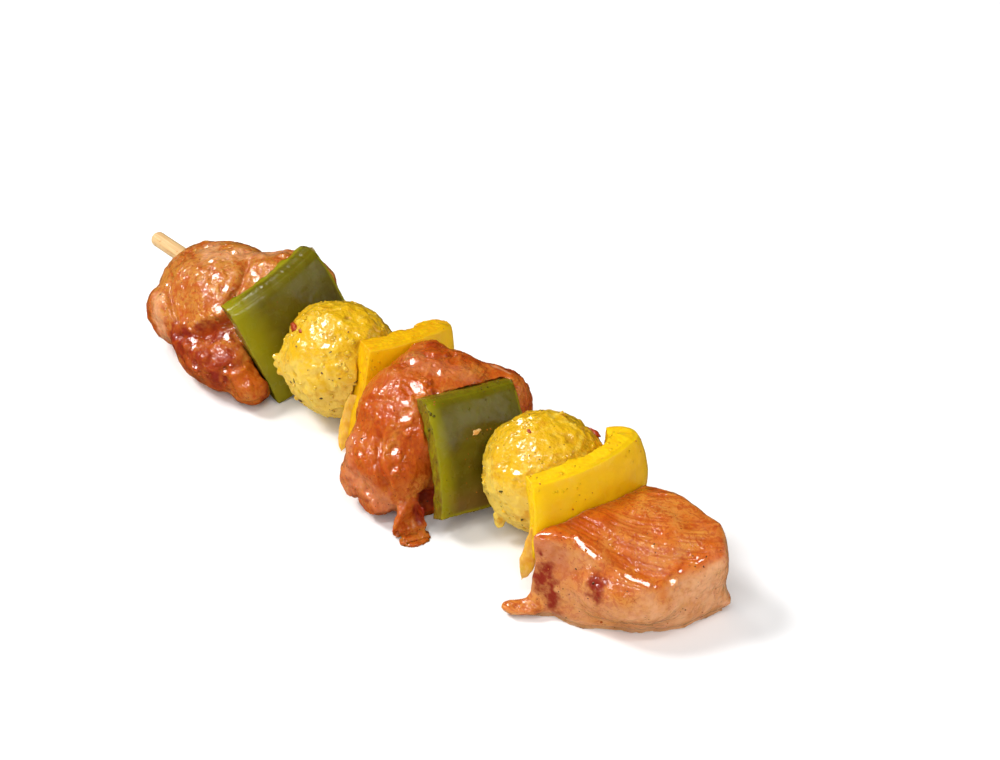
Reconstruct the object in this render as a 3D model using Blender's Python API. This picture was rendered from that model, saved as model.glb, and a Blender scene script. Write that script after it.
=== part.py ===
"""Raw chicken kebab skewer: three marinated chicken chunks, two green and two yellow pepper
pieces and two curry meatballs, threaded on a round bamboo stick and lying on a table.

X runs along the skewer, from the stick's bare end to the last chunk, and Z is up.
Piece sizes below are in millimetres, measured from the stick's bare end (x), from the stick's
centre line (y) and from the table (z). The finished model is in metres, with its origin on the
table under the middle of its bounding box.
"""
import math

import bmesh
import bpy
from mathutils import Euler, Matrix, Vector, noise

MM = 0.001

# Stick
STICK_DIAMETER = 4.0
STICK_LENGTH = 182.0
STICK_HEIGHT = 14.5
STICK_TIP = 16.0
STICK_SIDES = 12

# Fit between pieces
GAP = 0.3
HOLE_SIDES = 12

# Flesh mesh
VOXEL = 1.3
CHUNK_TRIANGLES = 1100

# Curry meatballs
BALL_RADIUS = 14.2
BALL_STRETCH = 1.04
BALL_BUMP = 0.7
BALL_BUMP_SIZE = 7.0

# Pepper pieces: faces across and up the wall, faces round its hooked end, steps along its path,
# and the bending radius of an end that doesn't hook
PEPPER_GRID = 8
HOOK_GRID = 5
PATH_STEPS = 24
STRAIGHT = 1e9


def clear_scene():
    """Start from an empty file."""
    for obj in list(bpy.data.objects):
        bpy.data.objects.remove(obj, do_unlink=True)


def material(name, colour, roughness, metallic=0.0):
    """A plain Principled material in the piece's own colour."""
    mat = bpy.data.materials.new(name)
    mat.use_nodes = True
    shader = mat.node_tree.nodes["Principled BSDF"]
    shader.inputs["Base Color"].default_value = (*colour, 1.0)
    shader.inputs["Roughness"].default_value = roughness
    shader.inputs["Metallic"].default_value = metallic
    mat.diffuse_color = (*colour, 1.0)
    return mat


def add_object(name, bm, mat=None):
    """Make an object of a bmesh whose coordinates are in millimetres."""
    bmesh.ops.scale(bm, vec=(MM, MM, MM), verts=bm.verts)
    bmesh.ops.recalc_face_normals(bm, faces=bm.faces)
    bmesh.ops.triangulate(bm, faces=bm.faces)
    mesh = bpy.data.meshes.new(name)
    bm.to_mesh(mesh)
    bm.free()
    obj = bpy.data.objects.new(name, mesh)
    bpy.context.scene.collection.objects.link(obj)
    if mat:
        mesh.materials.append(mat)
    return obj


def bake_modifiers(obj):
    """Replace an object's mesh with its evaluated mesh."""
    bpy.context.view_layer.update()
    evaluated = obj.evaluated_get(bpy.context.evaluated_depsgraph_get())
    baked = bpy.data.meshes.new_from_object(evaluated)
    obj.modifiers.clear()
    old = obj.data
    obj.data = baked
    baked.name = old.name
    bpy.data.meshes.remove(old)


def cut(obj, cutters):
    """Take each cutter's volume out of the object."""
    for cutter in cutters:
        boolean = obj.modifiers.new("cut_" + cutter.name, "BOOLEAN")
        boolean.operation = "DIFFERENCE"
        boolean.solver = "EXACT"
        boolean.object = cutter
    bake_modifiers(obj)


def keep_largest_body(obj):
    """Drop the loose crumbs that a cut leaves beyond a pepper piece."""
    bm = bmesh.new()
    bm.from_mesh(obj.data)
    unseen = set(bm.verts)
    bodies = []
    while unseen:
        stack = [unseen.pop()]
        body = set(stack)
        while stack:
            for edge in stack.pop().link_edges:
                for vert in edge.verts:
                    if vert in unseen:
                        unseen.discard(vert)
                        body.add(vert)
                        stack.append(vert)
        bodies.append(body)
    bodies.sort(key=len)
    for body in bodies[:-1]:
        bmesh.ops.delete(bm, geom=list(body), context="VERTS")
    bm.to_mesh(obj.data)
    bm.free()


def hide_cutter(obj):
    obj.hide_render = True
    obj.display_type = "WIRE"


def turned_along_x(profile, sides):
    """Revolve a profile of (x, radius) points round the stick's centre line."""
    bm = bmesh.new()
    rings = []
    for x, radius in profile:
        ring = []
        for side in range(sides):
            angle = 2 * math.pi * side / sides
            ring.append(bm.verts.new((x, radius * math.cos(angle), STICK_HEIGHT + radius * math.sin(angle))))
        rings.append(ring)
    for near, far in zip(rings, rings[1:]):
        for side in range(sides):
            after = (side + 1) % sides
            bm.faces.new((near[side], near[after], far[after], far[side]))
    bm.faces.new(rings[0])
    bm.faces.new(rings[-1])
    return bm


def stick_profile(growth=0.0):
    """Rounded bare end, straight shaft and tapered tip; growth widens it all round."""
    radius = STICK_DIAMETER / 2 + growth
    profile = []
    for step in range(4):
        angle = math.radians(15 + 25 * step)
        profile.append((radius * (1 - math.sin(angle)) - growth, radius * math.cos(angle)))
    profile = sorted(profile)
    profile.append((STICK_LENGTH - STICK_TIP, radius))
    profile.append((STICK_LENGTH - STICK_TIP / 3, radius * 0.62))
    profile.append((STICK_LENGTH + growth, 0.5 + growth))
    return profile


def make_stick(mat):
    stick = add_object("stick", turned_along_x(stick_profile(), STICK_SIDES), mat)
    stick.data.shade_smooth()
    stick.data.set_sharp_from_angle(angle=math.radians(50))
    return stick


def superellipsoid(bm, centre, radii, turn=(0, 0, 0), squareness=2.0, detail=4):
    """Add a rounded lobe: squareness 2 is an ellipsoid, 4 is close to a block."""
    made = bmesh.ops.create_icosphere(bm, subdivisions=detail, radius=1.0)["verts"]
    rotation = Euler([math.radians(a) for a in turn]).to_matrix()
    for vert in made:
        x, y, z = vert.co
        norm = (abs(x) ** squareness + abs(y) ** squareness + abs(z) ** squareness) ** (1 / squareness)
        point = Vector((x * radii[0], y * radii[1], z * radii[2])) / norm
        vert.co = rotation @ point + Vector(centre)


def block(bm, corners):
    """Add the convex block that spans the given corners."""
    verts = [bm.verts.new(corner) for corner in corners]
    hull = bmesh.ops.convex_hull(bm, input=verts)
    loose = [v for v in hull["geom_interior"] + hull["geom_unused"] if isinstance(v, bmesh.types.BMVert)]
    bmesh.ops.delete(bm, geom=loose, context="VERTS")


def make_chunk(name, corners, lobes, cutters, mat, seed):
    """One chicken chunk: a block and lobes grown together, softened, roughened and cut to fit."""
    bm = bmesh.new()
    block(bm, corners)
    for lobe in lobes:
        superellipsoid(bm, **lobe)
    chunk = add_object(name, bm, mat)
    remesh = chunk.modifiers.new("grow_together", "REMESH")
    remesh.mode = "VOXEL"
    remesh.voxel_size = VOXEL * MM
    soften = chunk.modifiers.new("soften", "SMOOTH")
    soften.factor = 0.5
    soften.iterations = 6
    bake_modifiers(chunk)
    for vert in chunk.data.vertices:
        place = vert.co / (11 * MM) + Vector((seed, 0, 0))
        vert.co += vert.normal * (noise.fractal(place, 1.0, 2.0, 2) * 0.9 * MM)
    thin = chunk.modifiers.new("thin_out", "DECIMATE")
    thin.ratio = CHUNK_TRIANGLES / (2 * len(chunk.data.polygons))
    thin.use_collapse_triangulate = True
    bake_modifiers(chunk)
    cut(chunk, cutters)
    keep_largest_body(chunk)
    chunk.data.shade_smooth()
    return chunk


def make_ball(name, centre, cutters, mat, seed):
    """One curry meatball: a rough round ball."""
    bm = bmesh.new()
    bmesh.ops.create_icosphere(bm, subdivisions=4, radius=1.0)
    turn = Euler((0.3 * seed, 0.7 * seed, 0.2)).to_matrix()
    for vert in bm.verts:
        direction = turn @ vert.co.normalized()
        place = direction * (BALL_RADIUS / BALL_BUMP_SIZE) + Vector((0, seed, 0))
        point = direction * (BALL_RADIUS + BALL_BUMP * noise.noise(place))
        point.x *= BALL_STRETCH
        vert.co = point + Vector(centre)
    ball = add_object(name, bm, mat)
    cut(ball, cutters)
    keep_largest_body(ball)
    ball.data.shade_smooth()
    return ball


def pepper_heading(piece, along):
    """Direction of a pepper's wall, as its turn away from +Y, at a distance along it from its middle."""
    half_width = piece["width"] / 2
    bow = math.atan(4 * piece["bow_across"] * min(along, half_width) / half_width / piece["width"])
    return -bow - max(0.0, along - half_width) / piece.get("hook_radius", STRAIGHT)


def pepper_wall(piece, growth):
    """Points along a pepper's wall: the bowed middle, then the end that hooks round.

    Each is (distance, x, y, turn), with the middle of the wall at the origin.
    """
    half_width = piece["width"] / 2
    hook = math.radians(piece.get("hook", 0)) * piece.get("hook_radius", STRAIGHT)
    stops = [half_width * (2 * i / PEPPER_GRID - 1) for i in range(PEPPER_GRID + 1)]
    stops[0] -= growth
    stops += [half_width + hook * (i + 1) / HOOK_GRID for i in range(HOOK_GRID if hook else 0)]
    stops[-1] += growth
    wall = []
    for stop in stops:
        x, y = 0.0, 0.0
        for step in range(PATH_STEPS):
            turn = pepper_heading(piece, stop * (step + 0.5) / PATH_STEPS)
            x += math.sin(turn) * stop / PATH_STEPS
            y += math.cos(turn) * stop / PATH_STEPS
        wall.append((stop, x, y, pepper_heading(piece, stop)))
    return wall


def pepper_point(piece, stop, v, depth):
    """A point of a curved pepper piece: v up from -1 to 1, depth under the skin."""
    along, x, y, turn = stop
    half_width = piece["width"] / 2
    u = max(-1.0, min(1.0, along / half_width))
    hooked = max(0.0, along - half_width) / piece.get("hook_radius", STRAIGHT)
    belly = 1 + piece.get("belly", 0.12) * math.cos(1.5 * u) * math.cos(1.5 * v)
    inward = depth * piece["thickness"] * belly - piece["bow_up"] * (1 - v * v)
    rise = piece.get("rise", 0.0) * hooked * (1 + v) / 2
    slant = min(0.0, u) * half_width * piece.get("slant", 0.0) * v
    local = Vector((piece["bow_across"] + x - math.cos(turn) * inward,
                    y + math.sin(turn) * inward + slant,
                    v * piece["height"] / 2 + rise))
    rotation = Euler([math.radians(a) for a in piece["turn"]]).to_matrix()
    return rotation @ local + Vector(piece["centre"])


def pepper_bmesh(piece, growth=0.0):
    """A curved slab with a skin side and a flesh side; growth makes it larger all round."""
    bm = bmesh.new()
    rows = PEPPER_GRID
    wall = pepper_wall(piece, growth)
    columns = len(wall) - 1
    reach_v = 1 + 2 * growth / piece["height"]
    sides = []
    for depth in (-growth / piece["thickness"], 1 + growth / piece["thickness"]):
        side = []
        for row in range(rows + 1):
            v = (2 * row / rows - 1) * reach_v
            side.append([bm.verts.new(pepper_point(piece, stop, v, depth)) for stop in wall])
        sides.append(side)
        for row in range(rows):
            for column in range(columns):
                bm.faces.new((side[row][column], side[row][column + 1],
                              side[row + 1][column + 1], side[row + 1][column]))
    skin, flesh = sides
    rim = [(0, c) for c in range(columns)] + [(r, columns) for r in range(rows)]
    rim += [(rows, c) for c in range(columns, 0, -1)] + [(r, 0) for r in range(rows, 0, -1)]
    for (r0, c0), (r1, c1) in zip(rim, rim[1:] + rim[:1]):
        bm.faces.new((skin[r0][c0], skin[r1][c1], flesh[r1][c1], flesh[r0][c0]))
    return bm


# Each wall stands across the stick, skin side towards +X. It bows outwards across and up, its -Y edge
# may slant, and its +Y end may hook round towards -X while it rises.
GREEN_1 = dict(centre=(56.8, 0.4, 15.6), turn=(13, -20, -3), width=28.5, height=28.5, thickness=5.4,
               bow_across=1.8, bow_up=1.6)
GREEN_2 = dict(centre=(123.2, -0.1, 15.8), turn=(-14, -28, 1), width=26.0, height=28.0, thickness=4.2,
               bow_across=1.0, bow_up=2.4)
YELLOW_1 = dict(centre=(90.8, 5.1, 13.7), turn=(-9, -3, -4), width=25.2, height=25.0, thickness=5.0,
                bow_across=1.2, bow_up=1.4, slant=-0.14, hook=180, hook_radius=5.2, rise=-1.1)
YELLOW_2 = dict(centre=(156.1, 0.8, 19.1), turn=(-3, -3, -5), width=29.4, height=22.0, thickness=3.8,
                bow_across=2.2, bow_up=3.0, belly=0.3, hook=128, hook_radius=6.0, rise=-1.2)


def lobe(x, y, z, rx, ry, rz, turn=(0, 0, 0), squareness=2.2):
    return dict(centre=(x, y, z), radii=(rx, ry, rz), turn=turn, squareness=squareness)


CHICKEN_1 = dict(
    corners=[(23, -9, -3), (48, -15, -3), (57, -9, -3), (57, 10, -3), (30, 11, -3),
             (11, 0, 15), (21, -10, 15), (46, -13, 19), (50, 9, 28), (38, 5, 26), (22, 4, 19.5), (56, 13, 19)],
    lobes=[lobe(34.5, -2, 13.8, 21, 15, 11), lobe(27, -11.5, 10, 10.5, 8.5, 8.5),
           lobe(43.5, -14.5, 7.8, 14, 9, 8), lobe(56, -14.5, 5, 6, 5.5, 5.5), lobe(47, 6, 16, 12.5, 12, 12)])
CHICKEN_2 = dict(
    corners=[(100, -16, -3), (117, -16, -3), (121, -9, -3), (120, 12, -3), (98, 12, -3),
             (93, -8, 21), (100, -14, 21), (118, -12, 23), (116, 14, 23), (93, 12, 23), (105, 5, 30)],
    lobes=[lobe(106, 0, 17, 15, 18, 12.5), lobe(96.5, 8.5, 23, 5, 6, 3.6), lobe(108, -14, 10, 12, 9.5, 9.5),
           lobe(113, 14, 14, 9, 9, 11), lobe(121.5, -18.5, 2, 7, 3.6, 2, turn=(0, 0, -40), squareness=4)])
CHICKEN_3 = dict(
    corners=[(159, -17.5, -3), (170, -14.5, -3), (180.5, -7.5, -3), (187.5, 3, -3), (188.5, 13.5, -3),
             (184, 17.5, -3), (158, 16, -3), (157, -17.5, 21.5), (163, -13, 21.3), (173, -9.5, 17.5),
             (183, -4.5, 14.5), (188, 3, 14.5), (191, 12, 19), (184, 17, 21), (172, 17.5, 22), (158, 17, 18),
             (158, 0, 21), (169, 4, 22.5)],
    lobes=[lobe(158.5, -20, 1.6, 6, 3, 1.5, turn=(0, 0, 40)), lobe(188, 14, 2.2, 2.2, 2.2, 1.4),
           lobe(172, 1, 9.5, 15.5, 15.5, 8.5)])

BALL_1_CENTRE = (74.0, 0.2, 14.8)
BALL_2_CENTRE = (139.3, 6.0, 14.8)


def centre_on_table(pieces):
    """Put the origin on the table, under the middle of the whole skewer's bounding box."""
    points = [vert.co for piece in pieces for vert in piece.data.vertices]
    middle_x = (min(p.x for p in points) + max(p.x for p in points)) / 2
    middle_y = (min(p.y for p in points) + max(p.y for p in points)) / 2
    lowest = min(p.z for p in points)
    for obj in bpy.data.objects:
        obj.data.transform(Matrix.Translation((-middle_x, -middle_y, -lowest)))


def make_pepper(name, piece, cutters, mat):
    pepper = add_object(name, pepper_bmesh(piece), mat)
    cut(pepper, cutters)
    pepper.data.shade_smooth()
    pepper.data.set_sharp_from_angle(angle=math.radians(40))
    return pepper


def main():
    clear_scene()
    chicken = material("marinated_chicken", (0.58, 0.22, 0.06), 0.3)
    green = material("green_pepper", (0.12, 0.19, 0.02), 0.3)
    yellow = material("yellow_pepper", (0.83, 0.52, 0.02), 0.3)
    curry = material("curry_meatball", (0.80, 0.52, 0.06), 0.5)
    bamboo = material("bamboo", (0.75, 0.52, 0.26), 0.6)

    make_stick(bamboo)
    bore = add_object("stick_bore", turned_along_x(stick_profile(GAP), HOLE_SIDES))
    table = bmesh.new()
    bmesh.ops.create_cube(table, size=1.0)
    bmesh.ops.scale(table, vec=(400, 200, 40), verts=table.verts)
    bmesh.ops.translate(table, vec=(100, 0, -20), verts=table.verts)
    table = add_object("table_level", table)
    peppers = dict(green_pepper_1=GREEN_1, yellow_pepper_1=YELLOW_1,
                   green_pepper_2=GREEN_2, yellow_pepper_2=YELLOW_2)
    room = {name: add_object(name + "_room", pepper_bmesh(piece, GAP)) for name, piece in peppers.items()}

    make_chunk("chicken_1", cutters=[bore, table, room["green_pepper_1"]], mat=chicken, seed=2, **CHICKEN_1)
    make_chunk("chicken_2", cutters=[bore, table, room["yellow_pepper_1"], room["green_pepper_2"]],
               mat=chicken, seed=7, **CHICKEN_2)
    make_chunk("chicken_3", cutters=[bore, table, room["yellow_pepper_2"]], mat=chicken, seed=12, **CHICKEN_3)
    make_ball("curry_ball_1", BALL_1_CENTRE, [bore, table, room["green_pepper_1"], room["yellow_pepper_1"]],
              curry, 2)
    make_ball("curry_ball_2", BALL_2_CENTRE, [bore, table, room["green_pepper_2"], room["yellow_pepper_2"]],
              curry, 9)
    for name, piece in peppers.items():
        make_pepper(name, piece, [bore, table], green if name.startswith("green") else yellow)
    for cutter in [bore, table, *room.values()]:
        hide_cutter(cutter)
    centre_on_table([obj for obj in bpy.data.objects if not obj.hide_render])


main()
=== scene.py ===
"""Looks of the raw chicken kebab skewer.

Each CAD solid gives a piece its place and form. The fine surface is made here: the chunks' folds
and grain, the meatballs' rough mince, the peppers' skin and cut flesh, the bamboo's fibres, and
the spices, shreds and crumbs that lie on them.

Shapes are worked out in millimetres in skewer coordinates: x from the stick's bare end, y from the
stick's centre line and z up from the table.
"""
import math

import bmesh
import bpy
import numpy as np
from mathutils import Euler, Matrix, Vector
from mathutils.bvhtree import BVHTree


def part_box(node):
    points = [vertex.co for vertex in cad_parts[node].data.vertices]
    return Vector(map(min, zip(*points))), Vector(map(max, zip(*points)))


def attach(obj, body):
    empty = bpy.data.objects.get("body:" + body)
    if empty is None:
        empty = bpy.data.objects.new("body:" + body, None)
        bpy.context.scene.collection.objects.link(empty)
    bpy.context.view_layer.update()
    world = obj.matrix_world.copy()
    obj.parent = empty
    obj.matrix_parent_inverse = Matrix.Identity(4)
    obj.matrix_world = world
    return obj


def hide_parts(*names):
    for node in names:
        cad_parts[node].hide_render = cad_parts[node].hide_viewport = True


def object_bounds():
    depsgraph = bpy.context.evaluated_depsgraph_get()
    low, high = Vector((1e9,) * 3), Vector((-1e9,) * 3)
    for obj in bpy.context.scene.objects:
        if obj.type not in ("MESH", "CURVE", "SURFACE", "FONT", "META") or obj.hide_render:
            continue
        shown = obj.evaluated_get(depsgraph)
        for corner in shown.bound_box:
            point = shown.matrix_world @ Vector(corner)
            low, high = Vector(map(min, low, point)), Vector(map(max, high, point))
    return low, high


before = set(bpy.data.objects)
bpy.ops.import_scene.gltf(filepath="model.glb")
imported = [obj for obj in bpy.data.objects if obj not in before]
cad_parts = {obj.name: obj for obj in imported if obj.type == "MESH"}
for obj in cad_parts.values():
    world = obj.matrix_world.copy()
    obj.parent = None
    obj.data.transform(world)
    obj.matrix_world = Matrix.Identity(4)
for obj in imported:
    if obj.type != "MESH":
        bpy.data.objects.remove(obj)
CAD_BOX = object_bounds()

MM = 0.001
STICK_LOW, STICK_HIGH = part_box("stick")
ORIGIN = np.array([STICK_LOW.x, (STICK_LOW.y + STICK_HIGH.y) / 2, 0.0])
STICK_LENGTH = (STICK_HIGH.x - STICK_LOW.x) / MM
STICK_RADIUS = (STICK_HIGH.z - STICK_LOW.z) / 2 / MM
STICK_HEIGHT = (STICK_HIGH.z + STICK_LOW.z) / 2 / MM

# The looks stay this far inside the CAD's own box, in millimetres
BOX_MARGIN = 0.02
BOX_LOW, BOX_HIGH = [(np.array(corner) - ORIGIN) / MM for corner in CAD_BOX]

# Camera, at the angle from which the skewer is seen
CAMERA_AZIMUTH = 46.66
CAMERA_ELEVATION = 37.0
CAMERA_DISTANCE = 0.625
CAMERA_LENS = 90.0
CAMERA_AIM = (-0.0028, 0.0361, 0.0)

# Lights stand this far away in metres, and these two are given by their angle round from the
# camera and their height
LIGHT_DISTANCE = 1.2
KEY_LIGHT = (-105, 50)
TOP_LIGHT = (17, 72)

# Fineness of the remeshed food, in millimetres
CHUNK_VOXEL = 0.30
BALL_VOXEL = 0.32


# ---------------------------------------------------------------- numbers and noise

def smoothstep(low, high, value):
    """0 below low, 1 above high, and smooth between."""
    t = np.clip((value - low) / (high - low), 0, 1)
    return t * t * (3 - 2 * t)


def noise(points, size, seed=0):
    """Gradient noise, about -1 to 1, whose bumps are about size across. Points is (n, 3)."""
    random = np.random.default_rng(seed)
    table = random.normal(size=(256, 3))
    table /= np.linalg.norm(table, axis=1, keepdims=True)
    order = random.permutation(256)
    scaled = points / size
    cell = np.floor(scaled).astype(np.int64)
    inside = scaled - cell
    fade = inside ** 3 * (inside * (inside * 6 - 15) + 10)
    total = np.zeros(len(points))
    for corner in range(8):
        step = np.array([corner & 1, corner >> 1 & 1, corner >> 2 & 1])
        at = cell + step
        index = order[(order[(order[at[:, 0] & 255] + at[:, 1]) & 255] + at[:, 2]) & 255]
        dot = ((inside - step) * table[index]).sum(1)
        total += np.where(step, fade, 1 - fade).prod(1) * dot
    return total * 1.6


def fractal(points, size, octaves, seed=0, gain=0.5):
    """Several octaves of noise, each half as large as the one before."""
    total = np.zeros(len(points))
    for octave in range(octaves):
        total += gain ** octave * noise(points, size / 2 ** octave, seed + octave)
    return total


def cells(points, size, seed=0):
    """Irregular cells of the given size.

    Gives each point's distance from its cell's middle, and how much further the next one is, both
    in cells: the second falls to 0 on the lines between cells.
    """
    scaled = points / size
    cell = np.floor(scaled).astype(np.int64)
    random = np.random.default_rng(seed)
    table = random.random((256, 3))
    order = random.permutation(256)
    nearest = np.full(len(points), 9.0)
    second = np.full(len(points), 9.0)
    for number in range(27):
        at = cell + np.array([number % 3, number // 3 % 3, number // 9]) - 1
        index = order[(order[(order[at[:, 0] & 255] + at[:, 1]) & 255] + at[:, 2]) & 255]
        distance = np.linalg.norm(at + table[index] - scaled, axis=1)
        second = np.minimum(second, np.maximum(nearest, distance))
        nearest = np.minimum(nearest, distance)
    return nearest, second - nearest


def warped(points, size, amount, seed):
    """The points pushed about by noise, which bends whatever pattern is read there."""
    return points + amount * np.stack([noise(points, size, seed + k) for k in range(3)], 1)


def smooth_curve(route, count=48):
    """Points along a smooth curve through a short route, as a Catmull-Rom spline."""
    route = np.array(route, float)
    padded = np.vstack([2 * route[0] - route[1], route, 2 * route[-1] - route[-2]])
    spans = len(route) - 1
    points = []
    for place in np.linspace(0, spans, count):
        span = min(int(place), spans - 1)
        t = place - span
        a, b, c, d = padded[span:span + 4]
        points.append(0.5 * (2 * b + (c - a) * t + (2 * a - 5 * b + 4 * c - d) * t * t
                             + (3 * b - a - 3 * c + d) * t ** 3))
    return np.array(points)


def follow(points, route):
    """Where each point lies beside a smooth curve.

    Gives its distance, its place along from 0 to 1, its offset from the curve and the curve's
    direction there.
    """
    curve = smooth_curve(route)
    distance = np.full(len(points), 1e9)
    along = np.zeros(len(points))
    offset = np.zeros((len(points), 3))
    heading = np.zeros((len(points), 3))
    for number, (start, end) in enumerate(zip(curve, curve[1:])):
        span = end - start
        t = np.clip((points - start) @ span / (span @ span), 0, 1)
        away = points - start - t[:, None] * span
        gap = np.linalg.norm(away, axis=1)
        nearer = gap < distance
        distance[nearer] = gap[nearer]
        along[nearer] = (number + t[nearer]) / (len(curve) - 1)
        offset[nearer] = away[nearer]
        heading[nearer] = span / np.linalg.norm(span)
    return distance, along, offset, heading


def ends(along, fade=0.15):
    """1 along a curve, and falling to 0 at both its ends."""
    return smoothstep(0, fade, along) * smoothstep(1, 1 - fade, along)


# ---------------------------------------------------------------- meshes

def link(name, mesh):
    obj = bpy.data.objects.new(name, mesh)
    bpy.context.scene.collection.objects.link(obj)
    return obj


def bake(obj):
    """Apply an object's modifiers."""
    bpy.context.view_layer.update()
    evaluated = obj.evaluated_get(bpy.context.evaluated_depsgraph_get())
    mesh = bpy.data.meshes.new_from_object(evaluated)
    obj.modifiers.clear()
    obj.data = mesh


def coordinates(mesh):
    """The mesh's vertices in skewer coordinates."""
    flat = np.empty(len(mesh.vertices) * 3, np.float32)
    mesh.vertices.foreach_get("co", flat)
    return (flat.reshape(-1, 3).astype(float) - ORIGIN) / MM


def inside_box(points):
    """The points, moved inside the CAD's box where they would leave it."""
    return np.clip(points, BOX_LOW + (BOX_MARGIN, BOX_MARGIN, 0), BOX_HIGH - BOX_MARGIN)


def set_coordinates(mesh, points):
    points = inside_box(points)
    mesh.vertices.foreach_set("co", (points * MM + ORIGIN).astype(np.float32).ravel())
    mesh.update()


def normals(mesh):
    flat = np.empty(len(mesh.vertices) * 3, np.float32)
    mesh.vertex_normals.foreach_get("vector", flat)
    return flat.reshape(-1, 3).astype(float)


def store(mesh, **values):
    """Keep numbers for each vertex, which the material reads by name."""
    for name, value in values.items():
        attribute = mesh.attributes.get(name) or mesh.attributes.new(name, "FLOAT", "POINT")
        attribute.data.foreach_set("value", np.asarray(value, np.float32))


def mesh_of(name, points, faces):
    """A mesh whose points are given in skewer coordinates."""
    mesh = bpy.data.meshes.new(name)
    mesh.from_pydata([tuple(p) for p in inside_box(np.asarray(points)) * MM + ORIGIN], [], faces)
    mesh.update()
    return mesh


def add_lobe(bm, centre, radii, turn=(0, 0, 0), boxy=2):
    """Add an ellipsoid, in skewer coordinates, which the remesh grows into the rest.

    It is squarer the higher its boxy number: 2 is round and 8 is nearly a box.
    """
    rotation = Euler([math.radians(a) for a in turn]).to_matrix()
    for vert in bmesh.ops.create_icosphere(bm, subdivisions=4, radius=1.0)["verts"]:
        size = sum(abs(c) ** boxy for c in vert.co) ** (1 / boxy)
        place = rotation @ Vector([c / size * r for c, r in zip(vert.co, radii)]) + Vector(centre)
        vert.co = place * MM + Vector(ORIGIN)


def fine_copy(node, name, voxel, softening, lobes=()):
    """A fine, softened mesh of a CAD node's solid with any further lobes."""
    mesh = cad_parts[node].data.copy()
    piece = link(name, mesh)
    bm = bmesh.new()
    bm.from_mesh(mesh)
    bmesh.ops.remove_doubles(bm, verts=bm.verts, dist=0.00001)
    for lobe in lobes:
        add_lobe(bm, *lobe)
    bm.to_mesh(mesh)
    bm.free()
    remesh = piece.modifiers.new("fine", "REMESH")
    remesh.mode = "VOXEL"
    remesh.voxel_size = voxel * MM
    soften = piece.modifiers.new("soften", "SMOOTH")
    soften.factor = 0.5
    soften.iterations = softening
    bake(piece)
    return piece


def displace(mesh, amount):
    """Move each vertex along its normal by an amount in millimetres, never below the table."""
    points = coordinates(mesh) + normals(mesh) * np.asarray(amount)[:, None]
    points[:, 2] = np.maximum(points[:, 2], 0.0)
    set_coordinates(mesh, points)


def tuck_under(mesh, height, depth):
    """Round the foot of a piece inwards where it meets the table."""
    points = coordinates(mesh)
    sideways = normals(mesh)
    sideways[:, 2] = 0
    low = np.clip(1 - points[:, 2] / height, 0, 1) ** 2
    set_coordinates(mesh, points - sideways * (depth * low)[:, None])


def gap_to(points, node):
    """Distance of each point from a CAD node's surface."""
    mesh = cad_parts[node].data
    corners = [v.co.copy() for v in mesh.vertices]
    tree = BVHTree.FromPolygons(corners, [tuple(p.vertices) for p in mesh.polygons])
    return np.array([tree.find_nearest(Vector(p))[3] for p in points * MM + ORIGIN]) / MM


def finish_piece(piece, material, slot, *nodes):
    """Smooth shading, material and body, and hiding of the CAD nodes that the piece stands for. Slot is not used."""
    piece.data.materials.clear()
    piece.data.materials.append(material)
    piece.data.shade_smooth()
    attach(piece, "root")
    if nodes:
        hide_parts(*nodes)
    return piece


# ---------------------------------------------------------------- material nodes

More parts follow.
